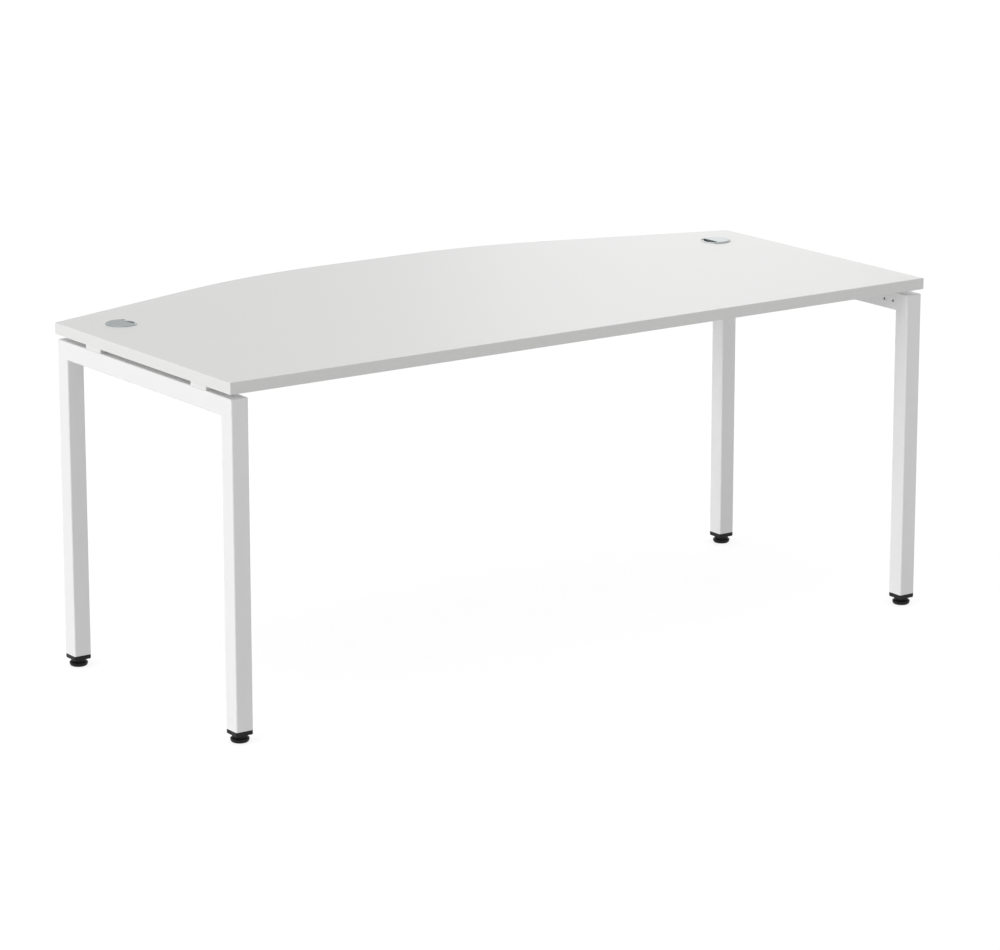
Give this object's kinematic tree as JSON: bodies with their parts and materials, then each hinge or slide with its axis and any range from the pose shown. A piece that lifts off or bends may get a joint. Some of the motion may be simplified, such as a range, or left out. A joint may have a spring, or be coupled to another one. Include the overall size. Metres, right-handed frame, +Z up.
{
  "type": "executive desk",
  "caption": "Free-standing executive desk: white bow-fronted top on two square-tube side frames with levelling feet and cable grommets.",
  "frame": {"origin": "on the floor, under the middle of the bounding box", "axes": "+X along the user's straight edge, +Y from the user's side to the bowed visitor's side, +Z up"},
  "size_m": [1.8, 0.89, 0.7533],
  "materials": {
    "top_melamine": "white melamine faced board, fine matt texture",
    "edge_banding": "satin white banding",
    "frame_coating": "white powder coating, satin",
    "white_plastic": "matt white",
    "black_plastic": "matt black, moulded",
    "zinc_steel": "zinc plated",
    "brass": "plain",
    "bright_metal": "plated, half bright",
    "satin_metal": "satin grey"
  },
  "bodies": {
    "desk": {"tabletop_board": "top_melamine", "edge_band_front": "edge_banding", "edge_band_rear": "edge_banding", "edge_band_left": "edge_banding", "edge_band_right": "edge_banding", "beam_front": "frame_coating", "beam_rear": "frame_coating", "beam_plate_left_front": "frame_coating", "beam_plate_right_front": "frame_coating", "beam_plate_left_rear": "frame_coating", "beam_plate_right_rear": "frame_coating", "beam_bolt_left_front_1": "zinc_steel", "beam_bolt_left_front_2": "zinc_steel", "beam_bolt_right_front_1": "zinc_steel", "beam_bolt_right_front_2": "zinc_steel", "beam_bolt_left_rear_1": "zinc_steel", "beam_bolt_left_rear_2": "zinc_steel", "beam_bolt_right_rear_1": "zinc_steel", "beam_bolt_right_rear_2": "zinc_steel", "left_leg_front": "frame_coating", "left_leg_rear": "frame_coating", "left_crossbar": "frame_coating", "right_leg_front": "frame_coating", "right_leg_rear": "frame_coating", "right_crossbar": "frame_coating", "spacer_left_front": "white_plastic", "spacer_left_rear": "white_plastic", "spacer_right_front": "white_plastic", "spacer_right_rear": "white_plastic", "top_screw_left_front": "zinc_steel", "top_screw_left_rear": "zinc_steel", "top_screw_right_front": "zinc_steel", "top_screw_right_rear": "zinc_steel", "top_insert_left_front": "brass", "top_insert_left_rear": "brass", "top_insert_right_front": "brass", "top_insert_right_rear": "brass", "leg_cap_left_front": "black_plastic", "leg_cap_left_rear": "black_plastic", "leg_cap_right_front": "black_plastic", "leg_cap_right_rear": "black_plastic", "leg_nut_left_front": "zinc_steel", "leg_nut_left_rear": "zinc_steel", "leg_nut_right_front": "zinc_steel", "leg_nut_right_rear": "zinc_steel", "grommet_liner_left": "bright_metal", "grommet_liner_right": "bright_metal"},
    "foot_pad_left_front": {"foot_pad_left_front": "black_plastic"},
    "foot_screw_left_front": {"foot_screw_left_front": "black_plastic"},
    "foot_pad_left_rear": {"foot_pad_left_rear": "black_plastic"},
    "foot_screw_left_rear": {"foot_screw_left_rear": "black_plastic"},
    "foot_pad_right_front": {"foot_pad_right_front": "black_plastic"},
    "foot_screw_right_front": {"foot_screw_right_front": "black_plastic"},
    "foot_pad_right_rear": {"foot_pad_right_rear": "black_plastic"},
    "foot_screw_right_rear": {"foot_screw_right_rear": "black_plastic"},
    "grommet_cover_left": {"grommet_cover_left": "satin_metal"},
    "grommet_shutter_left": {"grommet_shutter_left": "satin_metal"},
    "grommet_cover_right": {"grommet_cover_right": "satin_metal"},
    "grommet_shutter_right": {"grommet_shutter_right": "satin_metal"}
  },
  "joints": [
    {"name": "foot_travel_left_front", "type": "slide", "parent": "desk", "child": "foot_pad_left_front", "axis": [0, 0, -1], "range_m": [0, 0.015]},
    {"name": "foot_turn_left_front", "type": "hinge", "parent": "foot_pad_left_front", "child": "foot_screw_left_front", "pos_m": [-0.877, -0.422, 0.0128], "axis": [0, 0, -1], "range_deg": [0, 3600]},
    {"name": "foot_travel_left_rear", "type": "slide", "parent": "desk", "child": "foot_pad_left_rear", "axis": [0, 0, -1], "range_m": [0, 0.015]},
    {"name": "foot_turn_left_rear", "type": "hinge", "parent": "foot_pad_left_rear", "child": "foot_screw_left_rear", "pos_m": [-0.877, 0.232, 0.0128], "axis": [0, 0, -1], "range_deg": [0, 3600]},
    {"name": "foot_travel_right_front", "type": "slide", "parent": "desk", "child": "foot_pad_right_front", "axis": [0, 0, -1], "range_m": [0, 0.015]},
    {"name": "foot_turn_right_front", "type": "hinge", "parent": "foot_pad_right_front", "child": "foot_screw_right_front", "pos_m": [0.877, -0.422, 0.0128], "axis": [0, 0, -1], "range_deg": [0, 3600]},
    {"name": "foot_travel_right_rear", "type": "slide", "parent": "desk", "child": "foot_pad_right_rear", "axis": [0, 0, -1], "range_m": [0, 0.015]},
    {"name": "foot_turn_right_rear", "type": "hinge", "parent": "foot_pad_right_rear", "child": "foot_screw_right_rear", "pos_m": [0.877, 0.232, 0.0128], "axis": [0, 0, -1], "range_deg": [0, 3600]},
    {"name": "cover_lift_left", "type": "slide", "parent": "desk", "child": "grommet_cover_left", "axis": [0, 0, 1], "range_m": [0, 0.01]},
    {"name": "shutter_turn_left", "type": "hinge", "parent": "grommet_cover_left", "child": "grommet_shutter_left", "pos_m": [-0.793, 0.162, 0.7509], "axis": [0, 0, 1], "range_deg": [0, 180]},
    {"name": "cover_lift_right", "type": "slide", "parent": "desk", "child": "grommet_cover_right", "axis": [0, 0, 1], "range_m": [0, 0.01]},
    {"name": "shutter_turn_right", "type": "hinge", "parent": "grommet_cover_right", "child": "grommet_shutter_right", "pos_m": [0.793, 0.162, 0.7509], "axis": [0, 0, 1], "range_deg": [0, 180]}
  ],
  "couplings": [
    {"joint": "foot_turn_left_front", "follows": "foot_travel_left_front", "rad_per_m": 4188.8},
    {"joint": "foot_turn_left_rear", "follows": "foot_travel_left_rear", "rad_per_m": 4188.8},
    {"joint": "foot_turn_right_front", "follows": "foot_travel_right_front", "rad_per_m": 4188.8},
    {"joint": "foot_turn_right_rear", "follows": "foot_travel_right_rear", "rad_per_m": 4188.8}
  ]
}
